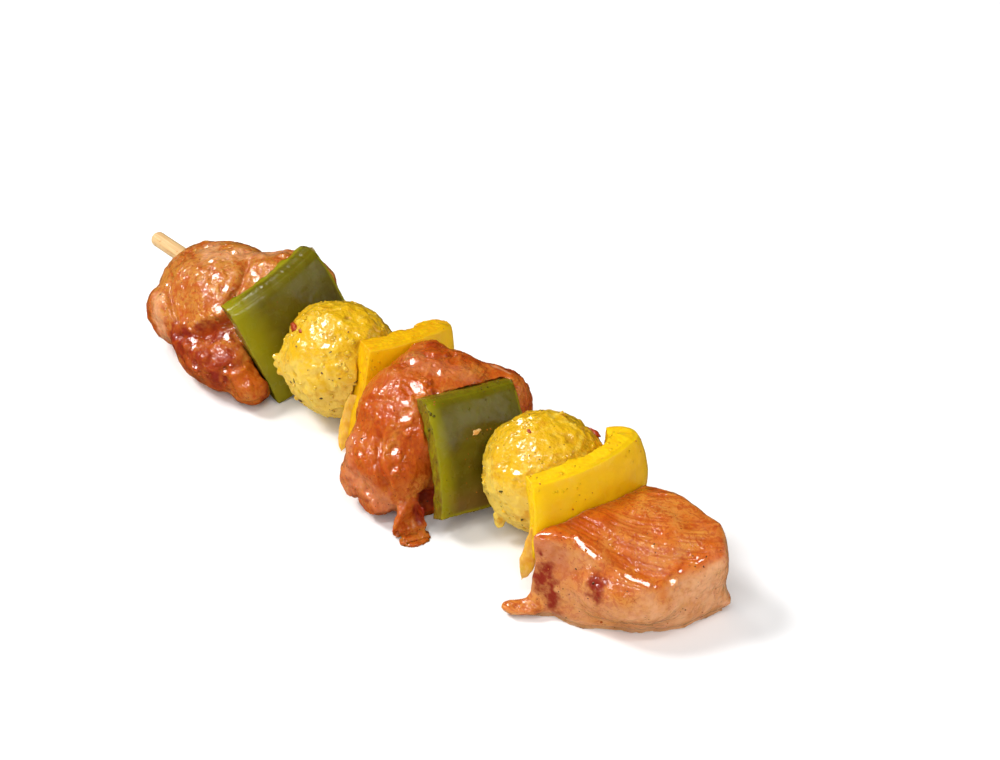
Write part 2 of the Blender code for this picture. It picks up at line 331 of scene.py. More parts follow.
class Shade:
    """One material and short calls for adding its nodes. Sizes are in millimetres."""

    def __init__(self, name):
        self.material = bpy.data.materials.new(name)
        self.material.use_nodes = True
        self.tree = self.material.node_tree
        self.shader = self.tree.nodes["Principled BSDF"]
        self.place = self.add("ShaderNodeTexCoord").outputs["Object"]

    def add(self, kind, **settings):
        node = self.tree.nodes.new(kind)
        for name, value in settings.items():
            setattr(node, name, value)
        return node

    def feed(self, socket, value):
        """Link a socket's output, or set a plain value."""
        if isinstance(value, bpy.types.NodeSocket):
            self.tree.links.new(value, socket)
        else:
            socket.default_value = value

    def set(self, name, value):
        """Feed one of the shader's own sockets."""
        self.feed(self.shader.inputs[name], value)

    def stretched(self, size, offset=0.0, turn=(0, 0, 0)):
        """Coordinates measured in bumps of the given size along x, y and z."""
        node = self.add("ShaderNodeMapping")
        self.feed(node.inputs["Vector"], self.place)
        node.inputs["Location"].default_value = (offset, offset * 1.7, offset * 2.3)
        node.inputs["Rotation"].default_value = [math.radians(a) for a in turn]
        node.inputs["Scale"].default_value = [1 / (s * MM) for s in size]
        return node.outputs["Vector"]

    def noise(self, size, detail=2.0, rough=0.5, offset=0.0, turn=(0, 0, 0), bend=0.0):
        """Noise with bumps of the given size: one number, or three for x, y and z."""
        size = size if isinstance(size, tuple) else (size, size, size)
        node = self.add("ShaderNodeTexNoise")
        self.feed(node.inputs["Vector"], self.stretched(size, offset, turn))
        node.inputs["Scale"].default_value = 1.0
        node.inputs["Detail"].default_value = detail
        node.inputs["Roughness"].default_value = rough
        node.inputs["Distortion"].default_value = bend
        return node.outputs["Fac"]

    def specks(self, spacing, radius, offset=0.0):
        """1 in small soft-edged specks of uneven size and 0 outside. Some cells have none."""
        node = self.add("ShaderNodeTexVoronoi")
        self.feed(node.inputs["Vector"], self.stretched((spacing,) * 3, offset))
        node.inputs["Scale"].default_value = 1.0
        split = self.add("ShaderNodeSeparateColor")
        self.feed(split.inputs[0], node.outputs["Color"])
        size = self.between(split.outputs[0], 0.35, 1.0, 0.0, radius / spacing * 1.5)
        return self.between(self.math("SUBTRACT", size, node.outputs["Distance"]), 0.0, radius / spacing * 0.6)

    def attribute(self, name):
        return self.add("ShaderNodeAttribute", attribute_name=name).outputs["Fac"]

    def between(self, value, low, high, bottom=0.0, top=1.0):
        """Map low..high smoothly to bottom..top."""
        node = self.add("ShaderNodeMapRange", interpolation_type="SMOOTHSTEP")
        self.feed(node.inputs["Value"], value)
        for name, number in (("From Min", low), ("From Max", high), ("To Min", bottom), ("To Max", top)):
            node.inputs[name].default_value = number
        return node.outputs["Result"]

    def math(self, operation, a, b=0.0):
        node = self.add("ShaderNodeMath", operation=operation)
        self.feed(node.inputs[0], a)
        self.feed(node.inputs[1], b)
        return node.outputs[0]

    def mix(self, factor, a, b):
        """Blend colour a into colour b."""
        node = self.add("ShaderNodeMix", data_type="RGBA")
        self.feed(node.inputs[0], factor)
        self.feed(node.inputs[6], a if isinstance(a, bpy.types.NodeSocket) else (*a, 1.0))
        self.feed(node.inputs[7], b if isinstance(b, bpy.types.NodeSocket) else (*b, 1.0))
        return node.outputs[2]

    def bump(self, height, depth, onto=None):
        """A normal from a height field: depth is the height in millimetres from 0 to 1."""
        node = self.add("ShaderNodeBump")
        node.inputs["Distance"].default_value = depth * MM
        self.feed(node.inputs["Height"], height)
        if onto is not None:
            self.feed(node.inputs["Normal"], onto)
        return node.outputs["Normal"]

    def up(self):
        """How far the surface faces up, from -1 to 1."""
        split = self.add("ShaderNodeSeparateXYZ")
        self.feed(split.inputs[0], self.add("ShaderNodeNewGeometry").outputs["Normal"])
        return split.outputs["Z"]


# Colours are linear
# Dark orange of marinade lines and grooves, also used as painted shade in hollows
VEIN_AND_SHADE = (0.42, 0.048, 0.002)
# Dark red of blood patches, also used as painted shade in hollows and under overhangs
BLOOD_AND_SHADE = (0.26, 0.018, 0.004)
# Pale pink of membrane and flesh, also used as painted sheen where the wet surface would mirror white surroundings
PALE_AND_SHEEN = (0.76, 0.370, 0.175)
GOLD = (0.70, 0.310, 0.012)
SPICE = (0.16, 0.030, 0.005)


def chicken_material(name, tan, orange, orange_from, orange_to, golden):
    """Wet raw chicken in an orange marinade that gathers in its grooves."""
    s = Shade(name)
    tone = s.math("ADD", s.noise(6, 4, 0.6), s.math("MULTIPLY", s.attribute("tone"), 0.5))
    colour = s.mix(s.between(tone, orange_from, orange_to), tan, orange)
    colour = s.mix(s.between(s.noise(4.5, 3, 0.6, 15), 0.52, 0.75, 0.0, golden), colour, GOLD)
    smears = s.between(s.noise(1.5, 5, 0.65, 7, bend=1.2), 0.48, 0.62, 0.0, 0.7)
    colour = s.mix(smears, colour, VEIN_AND_SHADE)
    threads = s.math("ABSOLUTE", s.math("SUBTRACT", s.noise(2.6, 3, 0.6, 17, bend=1.0), 0.5))
    threads = s.math("MULTIPLY", s.between(threads, 0.028, 0.004), s.between(s.noise(5, 2, 0.5, 27), 0.4, 0.6))
    colour = s.mix(s.math("MULTIPLY", threads, 0.6), colour, VEIN_AND_SHADE)
    # The vein mask holds marinade lines, and also painted shade in the hollow under chicken_1's ledge
    colour = s.mix(s.attribute("vein_and_shade"), colour, VEIN_AND_SHADE)
    ragged = s.between(s.noise(2.2, 4, 0.6, 3), 0.3, 0.7, 0.55, 1.25)
    # Paler flesh, and painted sheen of the wet surface at grazing angles
    colour = s.mix(s.math("MULTIPLY", s.attribute("pale_and_sheen"), ragged), colour, PALE_AND_SHEEN)
    # Red blood patches, and painted shade in hollows and under overhangs
    blood_and_shade_amount = s.math("MULTIPLY", s.attribute("blood_and_shade"), ragged)
    colour = s.mix(s.between(blood_and_shade_amount, 0.1, 1.05), colour, BLOOD_AND_SHADE)
    colour = s.mix(s.specks(1.1, 0.13, 3.3), colour, SPICE)
    s.set("Base Color", colour)
    s.set("Roughness", 0.42)
    s.set("IOR", 1.4)
    s.set("Specular IOR Level", 0.3)
    s.set("Subsurface Weight", 0.25)
    s.set("Subsurface Scale", 0.0025)
    s.shader.inputs["Subsurface Radius"].default_value = (1.0, 0.3, 0.05)
    s.set("Coat Weight", s.between(s.noise(5, 2, 0.5, 12), 0.3, 0.55, 0.7, 1.0))
    s.set("Coat Roughness", 0.06)
    s.set("Coat IOR", 1.5)
    s.set("Normal", s.bump(s.noise(0.8, 3, 0.6, 1), 0.12))
    rippled = s.between(s.noise(4, 2, 0.5, 21), 0.35, 0.6, 0.35, 1.0)
    rippled = s.math("MULTIPLY", rippled, s.math("SUBTRACT", 1.0, s.attribute("sleek")))
    ripples = s.math("MULTIPLY", s.noise(1.1, 0.8, 0.4, 9, bend=0.6), rippled)
    s.set("Coat Normal", s.bump(ripples, 0.42))
    return s.material


def curry_material():
    """Mince in a yellow curry sauce: glossy above, duller and paler below."""
    s = Shade("curry_mince")
    wet = s.between(s.math("ADD", s.up(), s.noise(5, 3)), 0.45, 1.15)
    colour = s.mix(wet, (0.80, 0.540, 0.085), (0.74, 0.420, 0.006))
    colour = s.mix(s.between(s.noise(2.2, 4, 0.6, 8), 0.5, 0.7, 0.0, 0.6), colour, (0.86, 0.62, 0.09))
    colour = s.mix(s.between(s.noise(3.0, 4, 0.65, 4), 0.52, 0.68, 0.0, 0.7), colour, (0.60, 0.27, 0.004))
    colour = s.mix(s.between(s.noise(5.0, 3, 0.6, 14), 0.58, 0.74, 0.0, 0.5), colour, (0.42, 0.22, 0.012))
    # Darker in the pits: painted shade
    colour = s.mix(s.math("MULTIPLY", s.attribute("pit"), 0.7), colour, (0.45, 0.20, 0.008))
    colour = s.mix(s.specks(1.6, 0.16, 2.1), colour, (0.20, 0.08, 0.008))
    s.set("Base Color", colour)
    s.set("Roughness", s.between(wet, 0.0, 1.0, 0.6, 0.35))
    s.set("IOR", 1.4)
    s.set("Specular IOR Level", 0.3)
    s.set("Subsurface Weight", 0.2)
    s.set("Subsurface Scale", 0.002)
    s.shader.inputs["Subsurface Radius"].default_value = (1.0, 0.7, 0.1)
    s.set("Coat Weight", s.between(wet, 0.0, 1.0, 0.35, 1.0))
    s.set("Coat Roughness", 0.07)
    s.set("Normal", s.bump(s.noise(0.8, 3, 0.6), 0.32))
    rippled = s.math("SUBTRACT", 1.0, s.attribute("sleek"))
    s.set("Coat Normal", s.bump(s.math("MULTIPLY", s.noise(1.1, 0.8, 0.4, 5), rippled), 0.30))
    return s.material


def pepper_material(name, skin, painted_light_and_strand, deep, foot, flesh, stain, gloss):
    """Waxy pepper skin over wet flesh.

    The attributes are: "cut" 1 on cut flesh, "glow" 1 where light is painted into the colour, and
    "low" 1 at the foot. The painted light is light coming through the wall at one end, bright rims
    along the skin's edges and the rolled cut edge, and a little more towards the top.
    """
    s = Shade(name)
    drift = s.between(s.noise((7, 7, 4), 4, 0.65), 0.38, 0.68)
    skin_colour = s.mix(drift, skin, deep)
    skin_colour = s.mix(s.attribute("low"), skin_colour, foot)
    # Painted glow: the skin turns lighter where light would come through the wall, along bright rims and towards the
    # top
    skin_colour = s.mix(s.attribute("glow"), skin_colour, painted_light_and_strand)
    strands = s.between(s.noise((0.7, 0.7, 3.0), 3, 0.6, 4), 0.35, 0.65)
    flesh_colour = s.mix(strands, painted_light_and_strand, flesh)
    stained = s.between(s.noise(2.5, 3, 0.6, 2), 0.35, 0.7, 0.0, 0.7)
    flesh_colour = s.mix(stained, flesh_colour, stain)
    colour = s.mix(s.attribute("cut"), skin_colour, flesh_colour)
    colour = s.mix(s.specks(2.4, 0.13, 1.2), colour, (0.30, 0.07, 0.004))
    s.set("Base Color", colour)
    s.set("Roughness", 0.45)
    s.set("IOR", 1.45)
    s.set("Specular IOR Level", 0.15)
    s.set("Subsurface Weight", 0.15)
    s.set("Subsurface Scale", 0.003)
    s.set("Coat Weight", s.between(s.noise(3.5, 4, 0.6, 33), 0.35, 0.6, *gloss))
    s.set("Coat Roughness", s.between(s.noise(6, 3, 0.6, 31), 0.35, 0.65, 0.14, 0.34))
    s.set("Normal", s.bump(s.noise(1.2, 3, 0.6), 0.04))
    s.set("Coat Normal", s.bump(s.noise(1.4, 1, 0.4, 6), 0.07))
    return s.material


def bamboo_material():
    """Pale bamboo with long fibres and a few marinade specks."""
    s = Shade("bamboo")
    fibres = s.noise((9, 0.35, 0.35), 3, 0.6)
    colour = s.mix(s.between(fibres, 0.35, 0.7), (0.74, 0.50, 0.235), (0.60, 0.33, 0.11))
    colour = s.mix(s.between(s.noise(1.2, 3, 0.6, 4), 0.6, 0.72, 0.0, 0.7), colour, (0.52, 0.18, 0.02))
    s.set("Base Color", colour)
    s.set("Roughness", 0.55)
    s.set("Normal", s.bump(fibres, 0.12))
    return s.material


# ---------------------------------------------------------------- sculpting

def mirror_slope(place, light):
    """The surface direction that mirrors a light to the camera at a place."""
    place = np.array(place) * MM + ORIGIN
    camera = np.array(CAMERA_AIM) + CAMERA_DISTANCE * np.array(direction(CAMERA_AZIMUTH, CAMERA_ELEVATION))
    lamp = LIGHT_DISTANCE * np.array(direction(CAMERA_AZIMUTH + light[0], light[1]))
    half = sum(away / np.linalg.norm(away) for away in (camera - place, lamp - place))
    return half / np.linalg.norm(half)


def snap(points, place):
    """The surface point nearest to a place."""
    return points[np.argmin(np.linalg.norm(points - np.array(place), axis=1))]


def wet_patches(points, facing, patches, light):
    """Clusters of ragged patches where the wet surface lies smooth and catches a light.

    Each cluster is a place and a radius. Gives the change in height and the patches' mask.
    """
    random = np.random.default_rng(81)
    splash = 0.8 * noise(points * (1, 1, 0.6), 1.5, 79) + 0.5 * noise(points, 0.8, 80)
    height = np.zeros(len(points))
    mask = np.zeros(len(points))
    for place, radius in patches:
        spots = [(place, radius * 1.3, 0.5, 0.25)]
        for _ in range(6):
            spots.append((np.array(place) + random.normal(size=3) * radius * 1.1,
                          radius * random.uniform(0.25, 0.5), 1, 0.55))
        for spot, size, jagged, core in spots:
            middle = snap(points, spot)
            away = points - middle
            ragged = np.maximum(size * (1 + jagged * splash), 0.05)
            patch = smoothstep(ragged, ragged * core, np.linalg.norm(away, axis=1))
            slope = mirror_slope(middle, light)
            level = (away @ slope) / np.maximum(facing @ slope, 0.5)
            height -= patch * (1 - mask) * (level - (level * patch).sum() / max(patch.sum(), 1e-6))
            mask = np.maximum(mask, patch)
    return height, mask


def wet_line(points, facing, route, width, light):
    """The same along a nearly straight route, as one long thin line of light."""
    route = [snap(points, place) for place in route]
    distance, along, _, _ = follow(points, route)
    middle = route[len(route) // 2]
    slope = mirror_slope(middle, light)
    ragged = width * (1 + 0.35 * noise(points, 1.5, 82))
    mask = smoothstep(ragged, ragged * 0.55, distance) * ends(along, 0.06)
    level = ((points - middle) @ slope) / np.maximum(facing @ slope, 0.5)
    return -mask * (level - (level * mask).sum() / mask.sum()), mask


class Sculpt:
    """A chunk's surface being shaped: height along its normals, and the masks its material reads."""

    def __init__(self, piece):
        self.mesh = piece.data
        self.points = coordinates(self.mesh)
        self.facing = normals(self.mesh)
        self.height = np.zeros(len(self.points))
        self.masks = {name: np.zeros(len(self.points)) for name in ("tone", "vein_and_shade", "blood_and_shade", "pale_and_sheen", "sleek")}

    def line(self, route, width, height):
        """A raised line, or a sunken one if height is negative. Gives its mask."""
        distance, along, _, _ = follow(self.points, route)
        mask = np.exp(-(distance / width) ** 2) * ends(along)
        self.height += height * mask
        return mask

    def shelf(self, route, height, reach):
        """A sheet of flesh whose edge follows the route, on the left of it as seen from outside."""
        distance, along, offset, heading = follow(self.points, route)
        side = (offset * np.cross(self.facing, heading)).sum(1)
        mask = ends(along, 0.2) * np.exp(-(distance / reach / 1.6) ** 2)
        sheet = smoothstep(-0.4, 0.4, side) * np.exp(-np.maximum(side, 0) / reach)
        ditch = np.exp(-((side + 0.6) / 0.7) ** 2)
        self.height += mask * height * (sheet - 0.5 * ditch)
        return mask * ditch

    def lump(self, centre, radius, height):
        """A soft mound, or a hollow if height is negative."""
        distance = np.linalg.norm(self.points - np.array(centre), axis=1)
        self.height += height * smoothstep(radius, 0, distance)

    def spot(self, name, centre, radius, amount=1.0):
        """Paint a ragged patch into a mask."""
        ragged = radius * (1 + 0.35 * noise(self.points, radius * 0.9, 77))
        distance = np.linalg.norm(self.points - np.array(centre), axis=1)
        patch = amount * smoothstep(ragged * 1.15, ragged * 0.5, distance)
        self.masks[name] = np.maximum(self.masks[name], patch)

    def stroke(self, name, route, width, amount=1.0):
        """Paint a ragged band along a route into a mask."""
        distance = follow(self.points, route)[0]
        ragged = width * (1 + 0.6 * fractal(self.points, 2.5, 3, 78))
        patch = amount * smoothstep(ragged * 1.2, ragged * 0.2, distance)
        self.masks[name] = np.maximum(self.masks[name], patch)

    def shine(self, patches, light=KEY_LIGHT):
        """Smooth, wet patches that catch a light."""
        self.settle()
        self.height, mask = wet_patches(self.points, self.facing, patches, light)
        self.masks["sleek"] = np.maximum(self.masks["sleek"], 0.65 * mask)

    def gleam(self, route, width, light):
        """A long thin line of light."""
        for _ in range(2):
            self.settle()
            self.height, mask = wet_line(self.points, self.facing, route, width, light)
        self.masks["sleek"] = np.maximum(self.masks["sleek"], mask)

    def settle(self):
        """Apply the height so far, and carry on from the new surface."""
        displace(self.mesh, self.height)
        self.points = coordinates(self.mesh)
        self.facing = normals(self.mesh)
        self.height = np.zeros(len(self.points))

    def grain(self, across, seed, depth, mask, spacing=1.2):
        """Muscle fibres, as grooves between strands. Across is (n, 3), constant along a fibre."""
        strands = fractal(across, spacing, 2, seed, 0.6)
        grooves = smoothstep(0.30, 0.0, np.abs(strands)) * mask
        self.height += depth * (0.5 * strands * mask - grooves)
        self.masks["vein_and_shade"] = np.maximum(self.masks["vein_and_shade"], 0.6 * grooves)

    def net(self, across, size, depth, seed, mask=1.0, dark=0.6):
        """A web of thin creases between small swellings, as in a wet membrane."""
        _, gap = cells(warped(across, size * 1.3, size * 0.35, seed), size, seed + 3)
        crease = smoothstep(0.22, 0.02, gap) * mask
        self.height += depth * (smoothstep(0, 0.6, gap) * mask - crease)
        self.masks["vein_and_shade"] = np.maximum(self.masks["vein_and_shade"], dark * crease)

    def wrinkle(self, size, depth, seed, mask=1.0):
        """Small wet wrinkles that break up the gloss."""
        bent = warped(self.points, size * 2, size * 0.6, seed)
        self.height += depth * mask * fractal(bent, size, 2, seed + 5)

    def finish(self):
        self.settle()
        store(self.mesh, **{name: np.clip(mask, 0, 1) for name, mask in self.masks.items()})


def make_chicken_1(material):
    """The first chunk: a smooth upper lobe over a dark hollow, with a round knob at its foot."""
    piece = fine_copy("chicken_1", "chicken_1_flesh", CHUNK_VOXEL, 22)
    s = Sculpt(piece)
    fold = [(23.5, -12.4, 20.3), (24.8, -14.5, 18.4), (29.7, -17.4, 16.2), (35.2, -19.4, 13.0)]
    ledge = [(33.0, -19.4, 12.4), (37.5, -18.9, 13.8), (41.5, -17, 16), (46, -13.4, 19.2), (49, -11, 20.5)]
    crease = [(37, 3, 26.2), (39.5, -1, 25.2), (43.0, -5.5, 23.8), (44.4, -10.3, 21.8), (43, -14, 19)]
    s.line(fold, 0.7, -0.9)
    # A deep hollow under the ledge, whose mask later paints shade into it
    dark = s.line([(p[0], p[1] - 0.8, p[2] - 1.2) for p in ledge], 1.4, -2.3)
    s.line([(p[0] - 0.8, p[1] + 0.3, p[2] + 1.6) for p in ledge], 1.6, 0.8)
    s.line(crease, 0.9, -1.0)
    s.lump((44.5, -19, 14), 5.5, -2.4)
    s.lump((40.5, -21, 12), 2.6, 0.9)
    s.lump((47.5, -21, 12.5), 3.0, 1.0)
    s.lump((43.5, -23, 8), 3.0, 0.9)
    s.lump((50, -21.5, 8.5), 2.6, -1.2)
    s.line([(55.5, -18, 11.5), (59, -18.5, 8), (60.5, -17.5, 3.5)], 2.6, 1.2)
    s.line([(52.5, -20.5, 12), (55.5, -20.5, 8), (56.5, -19.5, 3)], 0.9, -1.0)
    s.settle()
    up = smoothstep(-0.1, 0.5, s.facing[:, 2])
    flow = [(20, -4, 21), (30, -9, 24), (38, -12, 22), (44, -18, 14), (56, -20, 6)]
    _, along, offset, _ = follow(warped(s.points, 8, 1.0, 30), flow)
    across = offset + np.outer(along, (0, 0, 2.5))
    patchy = smoothstep(-0.35, 0.45, noise(s.points, 9, 21))
    s.grain(across, 3, 0.14, patchy * (0.3 + 0.7 * (1 - up)), 1.5)
    broken = smoothstep(-0.25, 0.35, noise(s.points, 6, 25))
    s.net(across * np.array([1, 1, 0.8]), 2.9, 0.11, 81, broken * (0.4 + 0.6 * up), 0.6)
    s.height += 0.45 * fractal(s.points, 6.5, 2, 8) + 0.16 * fractal(s.points, 2.6, 2, 18)
    s.wrinkle(1.5, 0.11, 40, 0.5 + 0.5 * patchy)
    # Painted shade in the hollow under the ledge
    s.masks["vein_and_shade"] = np.maximum(s.masks["vein_and_shade"], dark)
    s.stroke("vein_and_shade", fold, 0.7, 0.7)
    s.stroke("vein_and_shade", crease, 0.9, 0.8)
    # Red and darker marinade under the upper lobe's overhang and in the hollows at its foot: red flesh deepened with
    # painted shade
    s.stroke("blood_and_shade", [(34, -20.5, 11.5), (39, -20, 13.5), (43.5, -17.5, 15.5), (49, -14, 18)], 3.8)
    s.stroke("blood_and_shade", [(36, -21, 9), (43, -22.5, 10), (49, -22, 12), (53, -18, 14)], 4.6, 0.75)
    s.stroke("vein_and_shade", [(33, -20.5, 9), (40, -21.5, 12), (47, -20, 13.5), (53, -17, 14)], 5.0, 0.6)
    s.stroke("blood_and_shade", [(40, -23, 5), (47, -23, 5), (53, -21, 6)], 4.0, 0.6)
    s.spot("blood_and_shade", (51.5, -21.7, 8.5), 2.6)
    s.stroke("blood_and_shade", [(58, -12, 14), (62, -13, 8), (62, -14, 3)], 2.0, 0.9)
    s.stroke("blood_and_shade", [(53.5, -19.5, 12), (54, -20.5, 7), (55, -20, 2)], 1.3, 0.8)
    # Pale on the top and the left lobe: paler flesh with painted sheen over it
    s.stroke("pale_and_sheen", [(24, 0, 23.5), (29, -2.7, 24.5), (34, 4, 26), (40, 8, 27)], 4.0, 0.6)
    s.stroke("pale_and_sheen", [(24.5, -17, 14.5), (26.5, -19.9, 11.5), (29, -19.5, 7.5), (33, -21, 5)], 3.0, 0.8)
    s.stroke("vein_and_shade", [(30, -14, 19), (35, -12, 22), (40, -12.5, 21.5)], 1.4, 0.6)
    s.masks["tone"] = 0.5 * smoothstep(18, 10, s.points[:, 2])
    low = smoothstep(7, 1, s.points[:, 2]) * smoothstep(50, 40, s.points[:, 0])
    s.masks["pale_and_sheen"] = np.maximum(s.masks["pale_and_sheen"], 0.45 * low)
    s.shine([((36.7, -8.1, 24.7), 2.0), ((41.2, -8.9, 23.4), 1.7), ((42.7, -1.2, 25.2), 1.5),
             ((43.6, 1.5, 26.7), 1.2), ((23, -0.4, 23), 0.8), ((31.6, 1.3, 24.8), 1.0),
             ((31.3, -5.2, 24.6), 1.1), ((41.8, -20, 14.4), 1.6), ((48.5, -14.9, 15.8), 1.5),
             ((46.2, -23.1, 9.1), 1.4), ((53.9, -20.4, 10.7), 1.3), ((43.8, -13.2, 20.5), 1.7)])
    s.finish()
    tuck_under(s.mesh, 3.0, 1.3)
    return finish_piece(piece, material, "marinated_chicken", "chicken_1")


def make_chicken_2(material):
    """The second chunk: sheets of red muscle folded down to a square-ended flap on the table."""
    lobes = [((104, -19, 7), (6, 5.5, 5), (0, 0, -30)), ((110, -20, 5), (5.5, 4.5, 4), (0, 0, -30)),
             ((119.4, -17.8, 5.6), (4.4, 3.1, 1.6), (0, 30, -36), 5),
             ((122.0, -20.6, 2.6), (2.4, 3.8, 1.2), (0, 42, -54), 8)]
    piece = fine_copy("chicken_2", "chicken_2_flesh", CHUNK_VOXEL, 16, lobes)
    points = coordinates(piece.data)
    tail = smoothstep(119.5, 122.5, points[:, 0]) * smoothstep(-16, -18, points[:, 1])
    above = points[:, 2] - (4.6 - 0.75 * (points[:, 0] - 120) + 0.25 * (points[:, 1] + 20))
    points[:, 2] -= tail * np.maximum(above, 0)
    points[:, :2] += np.outer(tail, (-2.2, 1.0))
    set_coordinates(piece.data, points)
    s = Sculpt(piece)
    diag = [(107, -16, 21), (111, -20, 17.5), (114, -21.5, 14), (116.5, -21.3, 9.5)]
    sheet = [(97.5, -13, 22), (100.5, -13.2, 24.2), (104, -12.4, 26), (108.5, -11.2, 27)]
    s.line(diag, 1.0, -1.3)
    s.line([(p[0] + 1.8, p[1] - 0.2, p[2] + 0.8) for p in diag], 1.6, 0.9)
    s.line(sheet, 0.8, -0.7)
    s.line([(99, 5, 28), (102.5, 4.5, 29), (104, 8, 28.5), (103, 12, 27)], 0.9, -1.2)
    s.lump((98, 10, 26.5), 4, 0.8)
    s.lump((104, -21, 12), 3.4, 0.9)
    s.lump((100.5, -19, 14), 2.8, 0.7)
    s.lump((108, -22, 7.5), 3.4, 0.9)
    s.line([(100.5, -20, 13), (104, -22.5, 10), (109, -23, 6), (112, -23, 2)], 0.7, -0.9)
    s.line([(99, -18.5, 10), (103, -22, 7), (107, -23.5, 3.5)], 0.7, -0.9)
    s.line([(101.5, -18, 15.5), (106, -22, 12), (111, -23, 8.5), (115, -22.5, 5)], 0.6, -0.7)
    s.lump((120.5, -13, 5.5), 4.5, -2.4)
    s.line([(103, -15, 21), (105.5, -18.5, 17), (108.5, -21, 12), (112, -22, 6)], 0.9, -0.7)
    s.settle()
    flow = [(97, 8, 25), (103, -1, 28.5), (109, -11, 26.5), (114, -18, 18), (120, -21, 6), (124, -22, 2)]
    _, along, offset, _ = follow(warped(s.points, 9, 1.2, 50), flow)
    across = offset + np.outer(along, (0, 0, 4.0))
    patchy = smoothstep(-0.5, 0.4, noise(s.points, 8, 22))
    s.grain(across, 13, 0.13, 0.35 + 0.65 * patchy, 1.3)
    broken = smoothstep(-0.3, 0.4, noise(s.points, 6, 26))
    s.net(across, 2.4, 0.10, 91, broken, 0.5)
    ragged = smoothstep(12, 5, s.points[:, 2]) * smoothstep(116, 110, s.points[:, 0])
    s.height += 0.45 * fractal(s.points, 6.0, 2, 9) + (0.15 + 0.35 * ragged) * fractal(s.points, 2.6, 2, 19)
    s.wrinkle(1.5, 0.12, 60, 0.5 + 0.5 * patchy)
    s.stroke("vein_and_shade", diag, 0.9, 0.9)
    s.stroke("vein_and_shade", [(99, 5, 28), (102.5, 4.5, 29), (104, 8, 28.5), (103, 12, 27)], 1.2, 0.9)
    # Red flesh, deepened into painted shade in the hollow above the flap and along the creases
    s.spot("blood_and_shade", (98, 10.5, 26.5), 3.0, 0.7)
    s.spot("blood_and_shade", (120.3, -13.5, 5), 5.4)
    s.stroke("blood_and_shade", [(110, -23, 6), (114, -23, 4), (118, -23, 3)], 1.6, 0.6)
    s.spot("blood_and_shade", (97.5, -14, 18), 2.0, 0.6)
    s.stroke("blood_and_shade", [(111, 19, 24), (116, 19, 19), (119, 17, 12)], 5.0, 0.6)
    s.stroke("blood_and_shade", [(103, -14.5, 20), (106, -18.5, 16), (109, -21, 11)], 1.6, 0.45)
    s.stroke("blood_and_shade", [(103, -22, 6), (107, -23.5, 4), (112, -23.5, 1.5)], 2.0, 0.5)
    s.masks["tone"] = 0.35 + 0.4 * noise(s.points, 7, 23)
    # Pale patches: paler flesh, with painted sheen on the lower left and the top
    s.stroke("pale_and_sheen", [(100, -19.5, 15), (104, -23, 10.5), (111.5, -23, 9), (116, -22, 5)], 4.0, 0.3)
    s.stroke("pale_and_sheen", [(99, 2, 27), (105, 0, 29), (112, 6, 27.5)], 4.0, 0.2)
    s.stroke("pale_and_sheen", [(107, 14, 26), (111, 16, 25), (115.3, 17.4, 24.2)], 0.5, 0.9)
    s.masks["pale_and_sheen"] = np.maximum(s.masks["pale_and_sheen"], 0.35 * smoothstep(11, 3, s.points[:, 2])
                                 * smoothstep(113, 104, s.points[:, 0]))
    s.shine([((109.2, -6.2, 28.7), 3.2), ((112.2, -12.7, 25), 2.2), ((114.4, -13.2, 23.3), 1.5),
             ((113.5, -17.4, 18.4), 1.9), ((115.9, -19.2, 15.9), 1.3), ((101.3, -0.4, 29.3), 1.6),
             ((106.7, -21.6, 16), 1.2), ((108.6, 1.4, 29.1), 1.2)])
    s.finish()
    tuck_under(s.mesh, 3.0, 1.3)
    return finish_piece(piece, material, "marinated_chicken", "chicken_2")


